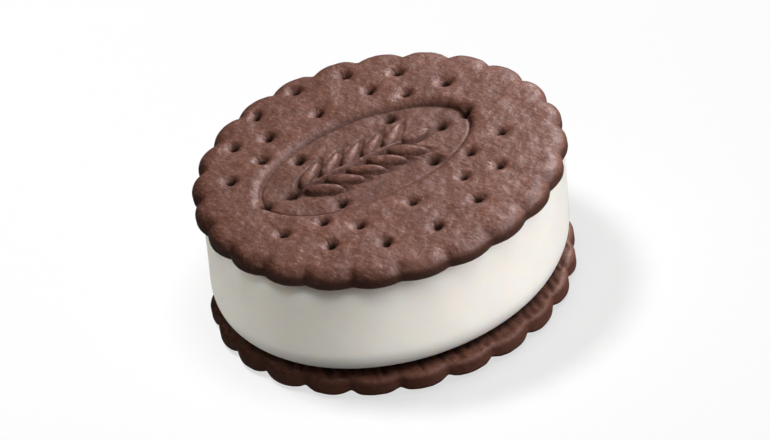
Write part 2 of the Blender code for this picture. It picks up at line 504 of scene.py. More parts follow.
def turned_blank(name: str, rings: Sequence[Ring]) -> bpy.types.Object:
    """Make a closed turned shape from rings that run from one pole to the other.

    Args:
        name: Name of the object.
        rings: The rings; the first and the last have one point each.

    Returns:
        An object at the origin, linked to the scene.
    """
    points: list[tuple[float, float, float]] = []
    faces: list[tuple[int, ...]] = []
    starts = []
    for ring in rings:
        starts.append(len(points))
        points.extend(ring.points())
    for index in range(len(rings) - 1):
        faces.extend(face for face in zip_rings(starts[index], rings[index].count,
                                                starts[index + 1], rings[index + 1].count)
                     if len(set(face)) == len(face))
    mesh = bpy.data.meshes.new(name)
    mesh.from_pydata(points, [], faces)
    shell = bmesh.new()
    shell.from_mesh(mesh)
    bmesh.ops.recalc_face_normals(shell, faces=shell.faces)
    shell.to_mesh(mesh)
    shell.free()
    mesh.shade_smooth()
    return show(name, mesh)


def refine(blank: bpy.types.Object, wanted: Callable[[Vector], bool]) -> None:
    """Halve the edges of a blank where fine relief will be.

    Args:
        blank: The object to refine.
        wanted: Says whether a point of the blank needs finer edges.
    """
    shell = bmesh.new()
    shell.from_mesh(blank.data)
    edges = [edge for edge in shell.edges
             if wanted(0.5 * (edge.verts[0].co + edge.verts[1].co))]
    bmesh.ops.subdivide_edges(shell, edges=edges, cuts=1, use_grid_fill=True)
    bmesh.ops.triangulate(shell, faces=[face for face in shell.faces if len(face.verts) > 4])
    shell.to_mesh(blank.data)
    shell.free()
    blank.data.shade_smooth()


def shaped_piece(name: str, blank: bpy.types.Object, bench: NodeBench,
                 values: Mapping[str, Feed], placement: Matrix) -> bpy.types.Object:
    """Run a blank through a shaping tree and keep the result as a plain mesh in its place.

    Args:
        name: Name of the finished piece.
        blank: The blank, which is used up.
        bench: The shaping tree.
        values: Values for the tree's named inputs.
        placement: Where the finished piece goes.

    Returns:
        The finished piece, at the origin with its place in its mesh.
    """
    modifier = blank.modifiers.new("shape", "NODES")
    modifier.node_group = bench.tree
    for label, value in values.items():
        modifier[bench.inputs[label]] = value
    depsgraph = bpy.context.evaluated_depsgraph_get()
    mesh = bpy.data.meshes.new_from_object(blank.evaluated_get(depsgraph))
    mesh.name = name
    bpy.data.objects.remove(blank, do_unlink=True)
    mesh.transform(placement)
    return show(name, mesh)


def edge_rings(rim: float, reach: float, drop: float, face: float, facing: Facing, step: float,
               count: int) -> list[Ring]:
    """Rings of a quarter-ellipse edge, from a flat face out to the rim.

    Args:
        rim: Radius of the rim.
        reach: How far in from the rim the rounding starts.
        drop: How far below the face the rounding ends.
        face: Height of the face.
        facing: Which way the face looks.
        step: Wanted spacing of the rings.
        count: Points in each ring.

    Returns:
        The rings, without the one at the start of the rounding.
    """
    steps = max(2, round(math.hypot(reach, drop) * ARC_TO_CHORD / step))
    rings = []
    for index in range(1, steps + 1):
        angle = 0.5 * math.pi * index / steps
        rings.append(Ring(rim - reach + reach * math.sin(angle),
                          face + facing.value * drop * (1.0 - math.cos(angle)), count))
    return rings


def wall_rings(radius: float, top: float, bottom: float, step: float, count: int) -> list[Ring]:
    """Rings of an upright wall.

    Args:
        radius: Radius of the wall.
        top: Height at which it starts.
        bottom: Height at which it ends.
        step: Wanted spacing of the rings.
        count: Points in each ring.

    Returns:
        The rings, without those at the wall's top and bottom.
    """
    steps = max(2, round((top - bottom) / step))
    return [Ring(radius, top + (bottom - top) * index / steps, count) for index in range(1, steps)]


def closing_rings(radius: float, height: float, count: int, least: int, shrink: float) -> list[Ring]:
    """Ever coarser rings that close a flat face which nothing shows.

    Args:
        radius: Radius of the first ring.
        height: Height of the face.
        count: Points in the first ring; each next ring has half as many.
        least: Fewest points in a ring.
        shrink: Radius of each ring as a share of the one before.

    Returns:
        The rings, with the face's middle as the last.
    """
    rings = []
    while count >= least:
        rings.append(Ring(radius, height, count))
        count //= 2
        radius *= shrink
    return rings + [Ring(0.0, height, 1)]


# --- Finishes --------------------------------------------------------------------------------


@dataclass(frozen=True)
class CrumbGroup:
    """Shader group for the grain of baked dough: soft bumps, mottling, pale painted glints and dark
    painted shade in crevices.
    """

    stretch: float = 0.55
    fine: NoiseLayer = NoiseLayer(2500.0, roughness=0.6)
    grain: NoiseLayer = NoiseLayer(1300.0, 3.0, roughness=0.55)
    lump: NoiseLayer = NoiseLayer(430.0, 7.0)
    mottle: NoiseLayer = NoiseLayer(260.0, 11.0, detail=5.0, roughness=0.65)
    patch: NoiseLayer = NoiseLayer(80.0, 17.0)
    fine_height: float = 0.25
    grain_height: float = 0.9
    lump_height: float = 2.0
    mottle_share: float = 0.6
    fine_share: float = 0.4
    tone: Range = (0.36, 0.62)
    # Ranges of the grain noise over which the painted glints and the painted shade in crevices ease
    # in.
    glint: Range = (0.5, 0.68)
    pit: Range = (0.34, 0.5)

    def build(self) -> bpy.types.NodeTree:
        """Build the group.

        Returns:
            A tree that gives Height, Tone, a mask of painted glints and a mask of painted crevice
            shade from Vector, Stretch and Seed.
        """
        bench = NodeBench.group("dough_crumb", TreeKind.FINISH)
        where = bench.take("Vector", Socket.VECTOR)
        seed, stretch = bench.size("Seed", 0.0), bench.size("Stretch", self.stretch)
        x, y, z = bench.split(where)
        fine = self.fine.read(bench, where, seed)
        grain = self.grain.read(bench, bench.join(x * stretch, y, z), seed)
        lump = self.lump.read(bench, where, seed)
        mottle, patch = self.mottle.read(bench, where, seed), self.patch.read(bench, where, seed)
        height = fine * self.fine_height + grain * self.grain_height + lump * self.lump_height
        tone = mottle * self.mottle_share + patch * (1.0 - self.mottle_share)
        speck = fine * self.fine_share + grain * (1.0 - self.fine_share)
        bench.give("Height", Socket.VALUE, height)
        bench.give("Tone", Socket.VALUE, bench.ease(tone, *self.tone))
        # Masks of painted glints on the grain and of painted shade in its crevices.
        bench.give("Glint", Socket.VALUE, bench.ease(speck, *self.glint))
        bench.give("Pit", Socket.VALUE, bench.ease(speck, *self.pit, 1.0, 0.0))
        return bench.tree


class TintGroup:
    """Shader group that lays a second colour over a first by a mask."""

    @staticmethod
    def build() -> bpy.types.NodeTree:
        """Build the group.

        Returns:
            A tree that gives Color from Under, Over, Mask and Amount.
        """
        bench = NodeBench.group("tint", TreeKind.FINISH)
        under, over = bench.take("Under", Socket.COLOUR), bench.take("Over", Socket.COLOUR)
        mask, amount = bench.size("Mask", 0.0), bench.size("Amount", 1.0)
        feeds = {0: mask * amount, 6: under, 7: over}
        mixed = bench.add("ShaderNodeMix", feeds, output=2, data_type="RGBA")
        bench.give("Color", Socket.COLOUR, mixed)
        return bench.tree


@dataclass
class FinishShop:
    """The shader groups that the finishes share, each built once."""

    crumb: bpy.types.NodeTree = field(default_factory=lambda: CrumbGroup().build())
    tint: bpy.types.NodeTree = field(default_factory=TintGroup.build)

    def start(self, name: str) -> tuple[bpy.types.Material, NodeBench, bpy.types.Node]:
        """Start a material with a Principled shader and an output.

        Args:
            name: Name of the material.

        Returns:
            The material, its bench and its shader node.
        """
        material = bpy.data.materials.new(name)
        bench = NodeBench.cleared(material)
        shader = bench.node("ShaderNodeBsdfPrincipled")
        bench.node("ShaderNodeOutputMaterial", {"Surface": bench.signal(shader)})
        return material, bench, shader

    def lay(self, bench: NodeBench, under: Feed, over: Feed, mask: Signal,
            amount: float) -> Signal:
        """Lay one colour over another by a mask."""
        feeds = {"Under": under, "Over": over, "Mask": mask, "Amount": amount}
        return bench.add("ShaderNodeGroup", feeds, node_tree=self.tint)


@dataclass(frozen=True)
class BiscuitFinish:
    """Matte baked cocoa dough: mottled and finely grained, with painted glints, and painted shade in
    its crevices, in its hollows and on its side.
    """

    name: str
    base: Colour
    dark: Colour
    # Colour of the painted glints.
    pale: Colour
    # Colour of the painted shade in crevices and hollows.
    hollow_shade: Colour
    # Colour of the painted shade on the side.
    side: Colour
    seed: float
    dark_amount: float = 0.8
    # Strengths of the painted glints and of the painted shade in crevices, on the side and in
    # hollows.
    glint_amount: float = 0.6
    crevice_shade_amount: float = 0.3
    side_shade_amount: float = 0.75
    hollow_amount: float = 0.92
    roughness: float = 0.44
    tone_roughness: float = 0.10
    hollow_roughness: float = 0.4
    side_roughness: float = 0.25
    specular: float = 0.26
    grain_height: float = 0.00014
    streak_turn: float = 50.0

    def material(self, shop: FinishShop) -> bpy.types.Material:
        """Build the material.

        Args:
            shop: Holds the shared shader groups.

        Returns:
            The material, which reads Object coordinates and two attributes of the mesh.
        """
        material, bench, shader = shop.start(self.name)
        where = bench.add("ShaderNodeTexCoord", output="Object")
        turned = bench.add("ShaderNodeMapping", {
            "Vector": where, "Rotation": (0.0, 0.0, math.radians(self.streak_turn))})
        crumb = bench.node("ShaderNodeGroup", {"Vector": turned, "Seed": self.seed},
                           node_tree=shop.crumb)
        grain, tone, glint, pit = (bench.signal(crumb, name)
                                   for name in ("Height", "Tone", "Glint", "Pit"))
        # Masks of the painted shade in the hollows and on the side.
        hollow_shade, side = (bench.add("ShaderNodeAttribute", output="Fac", attribute_name=name)
                        for name in ("hollow_shade", "side"))
        colour: Feed = self.base
        # Over the base go random mottling, painted glints, painted crevice shade, painted side shade
        # and painted hollow shade.
        for over, mask, amount in ((self.dark, tone, self.dark_amount),
                                   (self.pale, glint, self.glint_amount),
                                   (self.hollow_shade, pit, self.crevice_shade_amount),
                                   (self.side, side, self.side_shade_amount),
                                   (self.hollow_shade, hollow_shade, self.hollow_amount)):
            colour = shop.lay(bench, colour, over, mask, amount)
        bump = bench.add("ShaderNodeBump", {
            "Strength": 1.0, "Distance": self.grain_height, "Height": grain})
        roughness = (tone * self.tone_roughness + hollow_shade * self.hollow_roughness
                     + side * self.side_roughness + self.roughness)
        bench.wire(shader, {"Base Color": colour, "Roughness": roughness, "Normal": bump,
                            "Specular IOR Level": self.specular})
        return material


@dataclass(frozen=True)
class IceCreamFinish:
    """Smooth, dense ice cream that lets a little light through."""

    name: str = "vanilla_ice_cream"
    base: Colour = (0.91, 0.87, 0.805, 1.0)
    shade: Colour = (0.88, 0.84, 0.775, 1.0)
    roughness: float = 0.42
    ice_roughness: float = 0.15
    specular: float = 0.35
    scatter_radius: tuple[float, float, float] = (1.0, 0.8, 0.6)
    scatter_scale: float = 0.0035
    grain_height: float = 0.00003
    bump_strength: float = 0.6
    cloud_height: float = 2.0
    cloud: NoiseLayer = NoiseLayer(90.0, 2.0, detail=3.0)
    cloud_range: Range = (0.35, 0.65)
    ice: NoiseLayer = NoiseLayer(1800.0, 5.0, detail=3.0)

    def material(self, shop: FinishShop) -> bpy.types.Material:
        """Build the material.

        Args:
            shop: Holds the shared shader groups.

        Returns:
            The material, which reads Object coordinates.
        """
        material, bench, shader = shop.start(self.name)
        where = bench.add("ShaderNodeTexCoord", output="Object")
        cloud, ice = self.cloud.read(bench, where), self.ice.read(bench, where)
        colour = shop.lay(bench, self.base, self.shade, bench.ease(cloud, *self.cloud_range), 1.0)
        bump = bench.add("ShaderNodeBump", {
            "Strength": self.bump_strength, "Distance": self.grain_height,
            "Height": ice + cloud * self.cloud_height})
        bench.wire(shader, {
            "Base Color": colour, "Roughness": ice * self.ice_roughness + self.roughness,
            "Normal": bump, "Subsurface Weight": 1.0, "Subsurface Radius": self.scatter_radius,
            "Subsurface Scale": self.scatter_scale, "Specular IOR Level": self.specular})
        return material


# --- Biscuits --------------------------------------------------------------------------------


@dataclass(frozen=True)
class ScallopedRim:
    """Round lobes that meet in notches, puffed up between short grooves."""

    radius: float = 0.03979
    lobes: int = 24
    depth: float = 0.00125
    swell_start: float = 0.83
    groove: float = 0.0013
    notch_blur: float = 0.08
    notch_blur_from: float = 0.99
    inner_blur: float = 0.36
    wobble: float = 0.0005
    unevenness: NoiseLayer = NoiseLayer(1.6, level=0.6)

    @property
    def mean_radius(self) -> float:
        """Radius of the blank that the lobes are pulled from."""
        return self.radius - 0.5 * self.depth

    def shape(self, bench: NodeBench, spot: Spot, seed: Signal) -> tuple[Signal, Signal]:
        """Add the nodes that pull the lobes out of the blank.

        Args:
            bench: The biscuit's tree.
            spot: Where each point lies.
            seed: Picks the unevenness.

        Returns:
            The factor by which a point moves out, and how far the face dips there.
        """
        radius, lobes, depth, swell_start, groove, notch_blur, inner_blur, wobble = bench.sizes(
            self, "Rim", "radius", "lobes", "depth", "swell_start", "groove", "notch_blur",
            "inner_blur", "wobble")
        oval, oval_axis = bench.size("Oval", 0.0), bench.size("Oval Axis", 0.0)
        half_pitch = math.pi / lobes
        notch = radius - depth
        centre = (radius * radius - notch * notch) / (
            2.0 * (radius - notch * bench.math("COSINE", half_pitch)))
        curve = radius - centre
        reach = spot.reach / radius
        swell = bench.ease(reach, swell_start, 1.0)
        blur = half_pitch * bench.ease(reach, swell_start, self.notch_blur_from, inner_blur,
                                       notch_blur)
        to_notch = half_pitch - bench.math(
            "ABSOLUTE", spot.angle % (2.0 * half_pitch) - half_pitch)
        offset = bench.highest(0.0, half_pitch - bench.length(to_notch, blur))
        cosine, sine = bench.cos_sin(offset)
        sideways = centre * sine
        outline = centre * cosine + bench.math("SQRT", curve * curve - sideways * sideways)
        mean = radius - 0.5 * depth
        rim_point = bench.join(*bench.cos_sin(spot.angle), 0.0)
        uneven = self.unevenness.dents(bench, rim_point, seed) * wobble
        stretch = spot.oval_stretch(oval, oval_axis)
        factor = (1.0 + swell * (outline - mean + uneven) / mean) * stretch
        share = (radius - outline) / depth
        return factor, share * share * groove * swell


@dataclass(frozen=True)
class DockerPattern:
    """Docker holes in an oval ring, in fields between the ring and the panel, and in the panel."""

    centre: tuple[float, float] = (-0.0024, 0.0021)
    turn: float = 22.0
    ring_holes: int = 16
    ring_along: float = 0.0281
    ring_across: float = 0.0315
    ring_end: float = 0.0243
    quadrant_holes: tuple[tuple[float, float], ...] = (
        (0.0174, 0.0141), (0.0123, 0.0205), (0.0, 0.0209), (0.0180, 0.0), (0.0109, 0.0098))
    radius: float = 0.0027
    radius_spread: float = 0.24
    depth: float = 0.0020
    depth_spread: float = 0.4
    flare: float = 2.7
    dish_radius: float = 0.0042
    dish_depth: float = 0.00035
    # Share of a funnel's full depth over which the painted shade of its core eases in.
    core: Range = (0.22, 0.55)

    def to_pattern(self, x: Number, y: Number) -> tuple[Number, Number]:
        """Turn a place on the biscuit, in numbers or in signals, onto the pattern's own axes.

        Args:
            x: Place along the biscuit's X axis.
            y: Place along its Y axis.

        Returns:
            The place along the pattern's long axis, and across it.
        """
        turn = math.radians(self.turn)
        dx, dy = x - self.centre[0], y - self.centre[1]
        return (dx * math.cos(turn) + dy * math.sin(turn), dy * math.cos(turn) - dx * math.sin(turn))

    def places(self) -> list[tuple[float, float]]:
        """Work out where the holes are.

        Returns:
            The places of all holes, on the pattern's own axes.
        """
        found = []
        for index in range(self.ring_holes):
            angle = 2.0 * math.pi * index / self.ring_holes
            at_end = index % (self.ring_holes // 2) == 0
            along = self.ring_end if at_end else self.ring_along
            found.append((along * math.cos(angle), self.ring_across * math.sin(angle)))
        for along, across in self.quadrant_holes:
            found.extend((a * along, b * across) for a in (1, -1) for b in (1, -1))
        return found

    def points(self, bench: NodeBench) -> Signal:
        """Add the nodes that set out one point for each hole.

        Args:
            bench: The biscuit's tree.

        Returns:
            The points, on the pattern's own axes.
        """
        index = bench.add("GeometryNodeInputIndex")
        cosine, sine = bench.cos_sin(index * (2.0 * math.pi / self.ring_holes))
        at_end = bench.math("COMPARE", index % (self.ring_holes / 2.0), 0.0, 0.5)
        along = at_end * (self.ring_end - self.ring_along) + self.ring_along
        sets = [(self.ring_holes, bench.join(along * cosine, self.ring_across * sine, 0.0))]
        right = 1.0 - 2.0 * (index % 2.0)
        up = 1.0 - 2.0 * bench.math("FLOOR", index / 2.0)
        sets += [(4, bench.join(right * along, up * across, 0.0))
                 for along, across in self.quadrant_holes]
        joined = bench.node("GeometryNodeJoinGeometry")
        for count, places in sets:
            cloud = bench.add("GeometryNodePoints", {"Count": count, "Position": places})
            bench.feed(joined.inputs[0], cloud)
        return bench.signal(joined)

    def shape(self, bench: NodeBench, along: Signal, across: Signal,
              seed: Signal) -> tuple[Signal, Signal]:
        """Add the nodes that press the holes, as funnels with flared mouths in shallow dishes.

        Args:
            bench: The biscuit's tree.
            along: Place along the pattern's long axis.
            across: Place across it.
            seed: Picks the unevenness.

        Returns:
            The depth of the funnels, and the mask of painted shade in their cores.
        """
        radius, depth, flare, dish_radius, dish_depth = bench.sizes(
            self, "Hole", "radius", "depth", "flare", "dish_radius", "dish_depth")
        near = bench.node("GeometryNodeProximity", {
            0: self.points(bench), 2: bench.join(along, across, 0.0)}, target_element="POINTS")
        distance, hole = bench.signal(near, "Distance"), bench.signal(near, "Position")
        luck = bench.add("ShaderNodeTexWhiteNoise", {"Vector": hole, "W": seed},
                         noise_dimensions="4D")
        wide, deep = (luck * spread + (1.0 - 0.5 * spread)
                      for spread in (self.radius_spread, self.depth_spread))
        inside = bench.highest(0.0, 1.0 - distance / (radius * wide))
        share = bench.math("POWER", inside, flare)
        around = bench.highest(0.0, 1.0 - distance / dish_radius)
        dish = around * around * dish_depth
        return share * depth * deep + dish, bench.ease(share, *self.core)


@dataclass(frozen=True)
class WheatPanel:
    """An oval sunk panel that holds an ear of wheat in relief."""

    half_along: float = 0.0240
    half_across: float = 0.0143
    depth: float = 0.0012
    shoulder: float = 0.0030
    shoulder_power: float = 3.0
    crease: float = 0.0006
    crease_depth: float = 0.0002
    # Strength of the painted shade along the crease.
    crease_shade: float = 0.8
    pairs: int = 5
    pitch: float = 0.0050
    first: float = -0.0116
    offset: float = 0.0034
    lean: float = 38.0
    half_length: float = 0.0044
    half_width: float = 0.0015
    taper: float = 0.28
    height: float = 0.0012
    roundness: float = 0.5
    tip_at: float = 0.0122
    tip_half_length: float = 0.0036
    stem_at: float = -0.0031
    stem_half_length: float = 0.0131
    stem_half_width: float = 0.0006
    moat: float = 0.0003
    furrow_rise: Range = (-1.6, -0.05)
    furrow_fall: Range = (0.0, 0.35)
    fine_border: float = 0.06
    fine_along: Range = (-0.0172, 0.0166)
    fine_across: float = 0.0076

    def needs_fine_mesh(self, along: float, across: float) -> bool:
        """Tell where the panel's relief needs a fine mesh.

        Args:
            along: Place along the panel.
            across: Place across it.

        Returns:
            Whether the place lies near the panel's border or the ear.
        """
        inner = math.hypot(along / self.half_along, across / self.half_across)
        start, end = self.fine_along
        near_ear = abs(across) < self.fine_across and start < along < end
        return near_ear or abs(inner - 1.0) < self.fine_border

    @staticmethod
    def mound(along: Signal, across: Signal, half_along: Number, half_across: Number) -> Signal:
        """One minus the squared distance from a mound's middle, as shares of its half sizes."""
        u, v = along / half_along, across / half_across
        return 1.0 - (u * u + v * v)

    def shape(self, bench: NodeBench, along: Signal, across: Signal) -> tuple[Signal, Signal]:
        """Add the nodes that sink the panel and raise the ear.

        Args:
            bench: The biscuit's tree.
            along: Place along the panel.
            across: Place across it.

        Returns:
            How far the face sinks, and how near a furrow or the panel's crease a point lies, as a
            mask of painted shade.
        """
        half_along, half_across, depth, shoulder = bench.sizes(
            self, "Panel", "half_along", "half_across", "depth", "shoulder")
        pitch, half_length, half_width, height = bench.sizes(
            self, "Grain", "pitch", "half_length", "half_width", "height")
        cosine, sine = bench.cos_sin(bench.size("Grain Lean", math.radians(self.lean)))
        last_pair = bench.size("Last Pair", float(self.pairs - 1))
        inner = bench.length(along / half_along, across / half_across)
        slope = bench.length(along / (half_along * half_along), across / (half_across * half_across))
        beyond = inner * (inner - 1.0) / bench.highest(slope, 1.0)
        near = bench.lowest(1.0, bench.highest(0.0, 1.0 - beyond / shoulder))
        sunk = bench.math("POWER", near, self.shoulder_power)
        crease = bench.ease(bench.math("ABSOLUTE", beyond), 0.0, self.crease, 1.0, 0.0)
        ahead = along - self.first
        aside = bench.math("ABSOLUTE", across) - self.offset
        u = ahead * cosine + aside * sine
        v = aside * cosine - ahead * sine
        pair = bench.lowest(last_pair, bench.highest(0.0, bench.math("ROUND", -v / (pitch * sine))))
        u = u - pair * pitch * cosine
        v = v + pair * pitch * sine
        width = half_width * (1.0 - self.taper * u / half_length)
        grains = self.mound(u, v, half_length, width)
        tip = self.mound(along - self.tip_at, across, self.tip_half_length, half_width)
        stem = self.mound(along - self.stem_at, across, self.stem_half_length, self.stem_half_width)
        body = bench.highest(bench.highest(grains, tip), stem)
        raised = bench.math("POWER", bench.highest(body, 0.0), self.roundness) * height
        furrow = bench.ease(body, *self.furrow_rise) * (1.0 - bench.ease(body, *self.furrow_fall))
        relief = sunk * (depth + furrow * self.moat - raised) + crease * self.crease_depth
        return relief, sunk * furrow + crease * self.crease_shade


@dataclass(frozen=True)
class BeltMarks:
    """Short slanted grooves that the baking belt leaves on the inner face."""

    spacing: float = 0.0021
    depth: float = 0.00048
    turn: float = -20.0
    sharpness: float = 2.0
    sway: float = 0.0042
    sway_noise: NoiseLayer = NoiseLayer(160.0)
    patch_noise: NoiseLayer = NoiseLayer(260.0, 5.0)
    patch: Range = (0.36, 0.62)
    fade: Range = (0.935, 0.99)

    def shape(self, bench: NodeBench, spot: Spot, radius: float, seed: Signal) -> Signal:
        """Add the nodes that cut the grooves.

        Args:
            bench: The biscuit's tree.
            spot: Where each point lies.
            radius: Radius of the biscuit.
            seed: Picks the unevenness.

        Returns:
            The depth of the grooves.
        """
        spacing, depth = bench.sizes(self, "Belt", "spacing", "depth")
        cosine, sine = bench.cos_sin(bench.size("Belt Turn", math.radians(self.turn)))
        place = bench.join(spot.x, spot.y, 0.0)
        sway = self.sway_noise.swing(bench, place, seed) * self.sway
        ahead = spot.x * cosine + spot.y * sine + sway
        wave = bench.math("COSINE", ahead * (2.0 * math.pi) / spacing) * 0.5 + 0.5
        groove = bench.math("POWER", wave, self.sharpness)
        patch = bench.ease(self.patch_noise.read(bench, place, seed), *self.patch)
        inner = bench.ease(spot.reach / radius, *self.fade, 1.0, 0.0)
        return groove * patch * inner * depth


@dataclass(frozen=True)
class Biscuit:
    """A scalloped cocoa biscuit, modelled outer face up about its own middle."""

    thickness: float = 0.0044
    inner_reach: float = 0.0014
    inner_drop: float = 0.0010
    ring_step: float = 0.0004
    open_shelf: float = 0.86
    hidden_shrink: float = 0.6
    least_points: int = 9
    hole_zone: float = 0.0026
    hole_core: float = 0.0013
    relief_share: float = 0.6
    waves: NoiseLayer = NoiseLayer(95.0, 1.0, detail=1.0, level=0.38)
    wave_depth: float = 0.00070
    ripples: NoiseLayer = NoiseLayer(260.0, 2.0, level=0.33)
    ripple_depth: float = 0.00075
    dents: NoiseLayer = NoiseLayer(300.0, 4.0, level=0.6)
    dent_share: float = 0.004
    # Painted shade on the inner face under the ice cream, fading out towards the rim.
    ice_edge_shade: float = 0.75
    ice_edge_shade_fade: Range = (0.86, 0.96)
    # Strengths of the painted shade in the panel's furrows and in the belt's grooves.
    furrow_shade: float = 0.42
    belt_shade: float = 0.7
    # Depths below the face, as shares of the edge drop, over which the painted shade on the side
    # fades out.
    side_shade_fade: Range = (1.2, 0.4)
    rim: ScallopedRim = ScallopedRim()
    dockers: DockerPattern = DockerPattern()
    panel: WheatPanel = WheatPanel()
    belt: BeltMarks = BeltMarks()

    def rings(self, edge: tuple[float, float]) -> list[Ring]:
        """Rings of the blank, from the middle of the outer face to that of the inner one.

        Args:
            edge: Reach and drop of the rounding round the outer face.

        Returns:
            The rings.
        """
        top, bottom = 0.5 * self.thickness, -0.5 * self.thickness
        reach, drop = edge
        rim = self.rim.mean_radius
        flat = rim - reach
        steps = round(flat / self.ring_step)
        rings = [Ring(0.0, top, 1)]
        rings += [Ring(flat * step / steps, top, RING_GROWTH * step) for step in range(1, steps + 1)]
        count = RING_GROWTH * 4 * round(0.25 * rim / self.ring_step)
        rings += edge_rings(rim, reach, drop, top, Facing.UP, self.ring_step, count)
        rings += wall_rings(rim, top - drop, bottom + self.inner_drop, self.ring_step, count)
        rings += reversed(edge_rings(rim, self.inner_reach, self.inner_drop, bottom, Facing.DOWN,
                                     self.ring_step, count))
        shelf = rim - self.inner_reach
        while shelf > self.open_shelf * rim:
            rings.append(Ring(shelf, bottom, count))
            shelf -= self.ring_step
        return rings + closing_rings(shelf, bottom, count // 2, self.least_points,
                                     self.hidden_shrink)

    def blank(self, name: str, edge: tuple[float, float]) -> bpy.types.Object:
        """Turn the blank and refine it where relief is steep.

        Args:
            name: Name of the blank.
            edge: Reach and drop of the rounding round the outer face.

        Returns:
            The blank.
        """
        blank = turned_blank(name, self.rings(edge))
        holes = self.dockers.places()
        face = 0.5 * self.thickness - FACE_SLACK

        def near_hole(point: Vector, reach: float) -> bool:
            """Tell where a hole is near.

            Args:
                point: A point of the blank.
                reach: How near counts.

            Returns:
                Whether it is a point of the outer face within reach of a hole.
            """
            along, across = self.dockers.to_pattern(point.x, point.y)
            return point.z > face and any(
                math.hypot(along - a, across - b) < reach for a, b in holes)

        def near_relief(point: Vector) -> bool:
            """Tell where relief is near.

            Args:
                point: A point of the blank.

            Returns:
                Whether it is a point of the outer face near a hole or the panel's relief.
            """
            on_axes = self.dockers.to_pattern(point.x, point.y)
            return near_hole(point, self.hole_zone) or (
                point.z > face and self.panel.needs_fine_mesh(*on_axes))

        refine(blank, near_relief)
        refine(blank, lambda point: near_hole(point, self.hole_core))
        return blank

    def shaping_tree(self) -> NodeBench:
        """Build the tree that turns a blank into a biscuit.

        Returns:
            The bench with the finished tree.
        """
        bench = NodeBench.group("biscuit_shape", TreeKind.SHAPE)
        blank, skin = bench.take("Blank", Socket.SHAPE), bench.take("Material", Socket.MATERIAL)
        seed, edge_drop = bench.size("Seed", 0.0), bench.size("Edge Drop", 0.0)
        spot = Spot.read(bench)
        top, bottom = 0.5 * self.thickness, -0.5 * self.thickness
        outer = bench.ease(spot.z, top - self.relief_share * self.thickness, top)
        inner = bench.ease(spot.z, bottom, bottom + self.inner_drop, 1.0, 0.0)
        factor, valley = self.rim.shape(bench, spot, seed)
        along, across = self.dockers.to_pattern(spot.x, spot.y)
        funnel, core = self.dockers.shape(bench, along, across, seed)
        relief, furrow = self.panel.shape(bench, along, across)
        waves = self.waves.swing(bench, spot.place, seed) * self.wave_depth
        ripples = self.ripples.swing(bench, spot.place, seed) * self.ripple_depth
        face_drop = outer * bench.highest(0.0, valley + funnel + relief + waves + ripples)
        face_rise = inner * self.belt.shape(bench, spot, self.rim.radius, seed)
        dent = self.dents.dents(bench, spot.place, seed)
        move = factor * (1.0 + dent * self.dent_share)
        places = bench.join(spot.x * move, spot.y * move, spot.z - face_drop + face_rise)
        reach = spot.reach / self.rim.radius
        # Painted shade on the inner face next to the ice cream.
        ice_edge_shade = inner * bench.ease(reach, *self.ice_edge_shade_fade, self.ice_edge_shade, 0.0)
        # Painted shade in the furrows, the belt's grooves, the hole cores and next to the ice cream,
        # summed into one mask.
        furrows = furrow * self.furrow_shade
        grooves = inner * face_rise / self.belt.depth * self.belt_shade
        hollow_shade = bench.lowest(1.0, core + furrows + ice_edge_shade + grooves)
        # Painted shade on the wall, fading out over the rounded edges of both faces.
        low, high = (top - share * edge_drop for share in self.side_shade_fade)
        side = bench.ease(spot.z, low, high, 1.0, 0.0) * (
            bench.ease(spot.z, bottom, bottom + self.inner_drop))
        bench.finish_shape("Biscuit", blank, places, skin, {"hollow_shade": hollow_shade, "side": side})
        return bench


@dataclass(frozen=True)
class BiscuitPlace:
    """How one biscuit lies in the stack, and how it is dressed."""

    layer: Layer
    turn: float
    tilt: tuple[float, float]
    flipped: bool
    edge: tuple[float, float]
    oval: float
    oval_axis: float
    seed: float
    finish: BiscuitFinish

    @property
    def own_oval_axis(self) -> float:
        """Direction of the oval's long axis on the biscuit itself."""
        return self.turn - self.oval_axis if self.flipped else self.oval_axis - self.turn

    def placement(self) -> Matrix:
        """Turn, flip and tilt the biscuit about the middle of its solid's box.

        Returns:
            The transform from the biscuit's own axes to those of the sandwich.
        """
        tilt = Euler((math.radians(self.tilt[0]), math.radians(self.tilt[1]), 0.0))
        flip = Matrix.Rotation(math.pi if self.flipped else 0.0, 4, "X")
        return (Matrix.Translation(self.layer.middle()) @ tilt.to_matrix().to_4x4()
                @ Matrix.Rotation(math.radians(self.turn), 4, "Z") @ flip)


